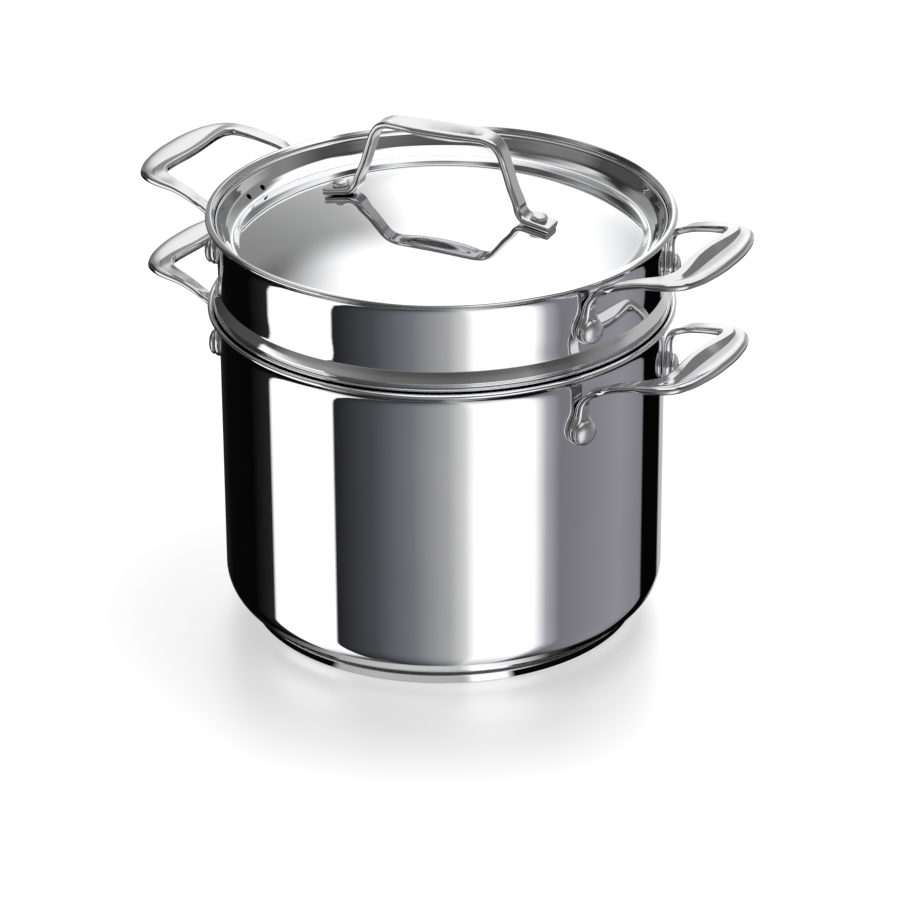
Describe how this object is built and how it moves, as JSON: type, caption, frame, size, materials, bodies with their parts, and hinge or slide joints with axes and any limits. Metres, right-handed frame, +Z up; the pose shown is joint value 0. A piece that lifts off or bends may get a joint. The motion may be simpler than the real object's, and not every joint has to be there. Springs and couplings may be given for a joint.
{
  "type": "pasta pot",
  "caption": "Polished steel pasta pot with a lift-out strainer insert, a domed vented lid, riveted strap loop handles and a capped flat heat-spreading base.",
  "frame": {"origin": "centre of the flat underside of the base, on the surface the pot stands on", "axes": "+X along the pot's two loop handles, +Z up along the pot's axis, +Y completing a right-handed frame"},
  "size_m": [0.3176, 0.2312, 0.2538],
  "materials": {
    "polished_steel": "mirror polished stainless steel",
    "cast_steel": "polished cast stainless steel, slightly softer than the sheet",
    "satin_steel": "satin stainless steel rivets",
    "aluminium_core": "plain rolled aluminium"
  },
  "bodies": {
    "pot": {"pot_body": "polished_steel", "base_core": "aluminium_core", "base_cap": "polished_steel", "pot_handle_right": "cast_steel", "pot_handle_left": "cast_steel", "pot_rivet_right_front": "satin_steel", "pot_rivet_right_back": "satin_steel", "pot_rivet_left_back": "satin_steel", "pot_rivet_left_front": "satin_steel"},
    "insert": {"insert_shell": "polished_steel", "insert_handle_right": "cast_steel", "insert_handle_left": "cast_steel", "insert_rivet_right_front": "satin_steel", "insert_rivet_right_back": "satin_steel", "insert_rivet_left_back": "satin_steel", "insert_rivet_left_front": "satin_steel"},
    "lid": {"lid_disc": "polished_steel", "lid_handle": "cast_steel", "lid_rivet_right": "satin_steel", "lid_rivet_left": "satin_steel"}
  },
  "joints": [
    {"name": "insert_lift", "type": "slide", "parent": "pot", "child": "insert", "axis": [0, 0, 1], "range_m": [0, 0.16]},
    {"name": "lid_lift", "type": "slide", "parent": "insert", "child": "lid", "axis": [0, 0, 1], "range_m": [0, 0.08]}
  ]
}
